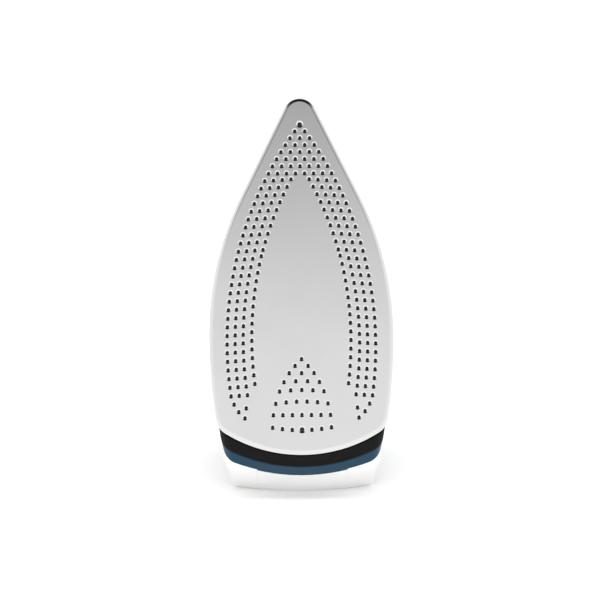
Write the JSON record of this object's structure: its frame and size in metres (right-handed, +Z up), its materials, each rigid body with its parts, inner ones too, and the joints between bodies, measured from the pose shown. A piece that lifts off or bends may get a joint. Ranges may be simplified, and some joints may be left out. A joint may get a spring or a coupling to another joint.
{
  "type": "steam iron",
  "caption": "Steam iron standing on its heel: perforated steel sole, coloured band, water tank, closed handle with dial, slide, buttons, filling door and cord inlet.",
  "frame": {"origin": "middle of the patch of the heel that the iron stands on, at floor level", "axes": "+Z up with the iron standing on its heel, +X to the right when looking at the sole, +Y from the sole towards the handle; the sole leans back 15 degrees"},
  "size_m": [0.115, 0.1806, 0.2503],
  "materials": {
    "stainless": "polished",
    "cast_alloy": "as cast",
    "element_steel": "oxidised",
    "screw_steel": "plain",
    "brass_pins": "plain",
    "silicone": "satin",
    "black_plastic": "fine texture",
    "blue_plastic": "gloss",
    "tank_blue": "translucent",
    "white_plastic": "satin gloss",
    "grey_rubber": "matte",
    "blue_control": "satin",
    "amber_lens": "gloss",
    "ceramic_base": "matte",
    "grey_plastic": "plain",
    "spring_steel": "bright"
  },
  "bodies": {
    "base": {"soleplate": "stainless", "sole_casting": "cast_alloy", "heating_element": "element_steel", "element_terminals": "brass_pins", "chamber_gasket": "silicone", "steam_chamber_cover": "cast_alloy", "cover_screws": "screw_steel", "thermal_fuse": "screw_steel", "fuse_clip": "screw_steel", "bimetal_strip": "brass_pins", "thermostat": "ceramic_base", "skirt": "black_plastic", "heat_shield": "black_plastic", "shield_screws": "screw_steel", "trim_band": "blue_plastic", "water_tank": "tank_blue", "body_shell": "white_plastic", "heel_cover": "white_plastic", "handle_lower": "white_plastic", "handle_cover": "blue_plastic", "handle_grip": "grey_rubber", "pilot_lens": "amber_lens", "pilot_lamp": "ceramic_base", "pump_bracket": "grey_plastic", "valve_seat": "brass_pins", "valve_guide": "grey_plastic", "valve_spring": "spring_steel", "fill_funnel": "grey_plastic", "door_pin": "screw_steel", "spray_nozzle": "grey_plastic", "nozzle_ring": "blue_control", "clean_spring": "spring_steel", "clean_guide": "grey_plastic", "terminal_block": "ceramic_base", "terminal_screws": "brass_pins", "terminal_stand": "grey_plastic", "swivel_pins": "screw_steel", "steam_pump_cylinder": "grey_plastic", "steam_button_spring": "spring_steel", "steam_pump_pipe": "grey_plastic", "spray_pump_cylinder": "grey_plastic", "spray_button_spring": "spring_steel", "spray_pump_pipe": "grey_plastic"},
    "dial": {"temperature_dial": "blue_control", "dial_shaft": "grey_plastic"},
    "slider": {"steam_slider": "white_plastic"},
    "valve": {"valve_rod": "screw_steel"},
    "steam_push": {"steam_button": "white_plastic", "steam_piston": "grey_plastic"},
    "spray_push": {"spray_button": "white_plastic", "spray_piston": "grey_plastic"},
    "door": {"fill_door": "tank_blue"},
    "clean_push": {"clean_button": "grey_plastic"},
    "swivel": {"cord_swivel": "black_plastic"}
  },
  "joints": [
    {"name": "dial_turn", "type": "hinge", "parent": "base", "child": "dial", "pos_m": [0, 0.01607, 0.09476], "axis": [0, 0.9659, -0.2588], "range_deg": [0, 270]},
    {"name": "steam_slide", "type": "slide", "parent": "base", "child": "slider", "axis": [0, 0.2588, 0.9659], "range_m": [0, 0.006]},
    {"name": "valve_lift", "type": "slide", "parent": "base", "child": "valve", "axis": [0, 0.9659, -0.2588], "range_m": [0, 0.002], "deforming": ["valve_spring"]},
    {"name": "steam_press", "type": "slide", "parent": "base", "child": "steam_push", "axis": [0, -0.9659, 0.2588], "range_m": [0, 0.0035], "stiffness_N_per_m": 400, "springref_m": -0.002, "deforming": ["steam_button_spring"]},
    {"name": "spray_press", "type": "slide", "parent": "base", "child": "spray_push", "axis": [0, -0.9659, 0.2588], "range_m": [0, 0.0035], "stiffness_N_per_m": 400, "springref_m": -0.002, "deforming": ["spray_button_spring"]},
    {"name": "door_hinge", "type": "hinge", "parent": "base", "child": "door", "pos_m": [0, 0.04632, 0.19118], "axis": [1, 0, 0], "range_deg": [0, 85]},
    {"name": "clean_press", "type": "slide", "parent": "base", "child": "clean_push", "axis": [-1, 0, 0], "range_m": [0, 0.0025], "stiffness_N_per_m": 500, "springref_m": -0.002, "deforming": ["clean_spring"]},
    {"name": "cord_swing", "type": "hinge", "parent": "base", "child": "swivel", "pos_m": [0, 0.0507, 0.01922], "axis": [1, 0, 0], "range_deg": [-12, 32]}
  ],
  "couplings": [
    {"joint": "valve_lift", "follows": "steam_slide", "ratio": 0.33}
  ]
}
